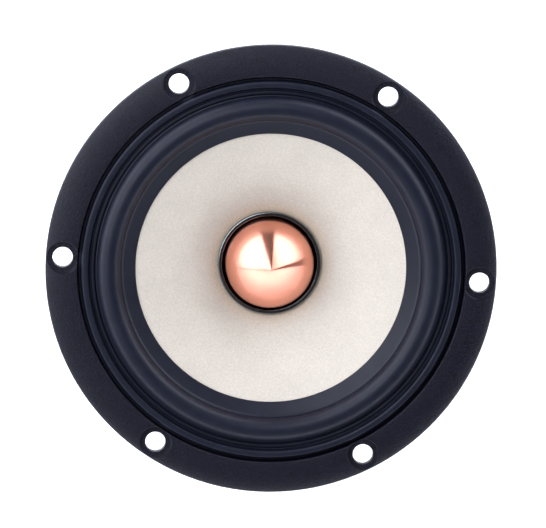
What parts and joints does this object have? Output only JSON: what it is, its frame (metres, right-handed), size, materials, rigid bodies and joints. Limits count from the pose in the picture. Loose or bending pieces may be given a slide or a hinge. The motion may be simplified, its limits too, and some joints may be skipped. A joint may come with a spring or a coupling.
{
  "type": "midwoofer loudspeaker driver",
  "caption": "Round car loudspeaker driver: black cast frame, rubber half-roll surround, cream cone and a polished copper bullet phase plug on a ferrite magnet.",
  "frame": {"origin": "centre of the back plate's rear face, on which the driver lies", "axes": "+Z is the driver's axis and points out of its front; +X passes through a flange hole; the terminals are at -Y"},
  "size_m": [0.12, 0.12, 0.0611],
  "materials": {
    "cast_frame": "matte",
    "plated_steel": "satin",
    "ferrite": "matte",
    "polished_copper": "polished",
    "zinc_screw": "satin",
    "cream_cone": "satin",
    "gloss_black": "gloss",
    "former_metal": "satin",
    "copper_wire": "gloss",
    "rubber": "satin",
    "spider_cloth": "matte",
    "board": "matte",
    "terminal_brass": "satin",
    "tinsel": "satin"
  },
  "bodies": {
    "chassis": {"basket": "cast_frame", "yoke": "plated_steel", "magnet": "ferrite", "top_plate": "plated_steel", "phase_plug": "polished_copper", "phase_plug_screw": "zinc_screw", "plate_screw_1": "zinc_screw", "plate_screw_2": "zinc_screw", "plate_screw_3": "zinc_screw", "surround": "rubber", "spider": "spider_cloth", "terminal_board": "board", "terminal_board_screw": "zinc_screw", "terminal_positive": "terminal_brass", "terminal_negative": "terminal_brass", "terminal_rivet_positive": "terminal_brass", "terminal_rivet_negative": "terminal_brass", "tinsel_lead_positive": "tinsel", "tinsel_lead_negative": "tinsel"},
    "diaphragm": {"cone": "cream_cone", "neck_ring": "gloss_black", "voice_coil_former": "former_metal", "voice_coil_winding": "copper_wire", "former_pad_positive": "zinc_screw", "former_pad_negative": "zinc_screw"}
  },
  "joints": [
    {"name": "cone_stroke", "type": "slide", "parent": "chassis", "child": "diaphragm", "axis": [0, 0, 1], "range_m": [-0.005, 0.005], "stiffness_N_per_m": 800, "deforming": ["surround", "spider", "tinsel_lead_positive", "tinsel_lead_negative"]}
  ]
}
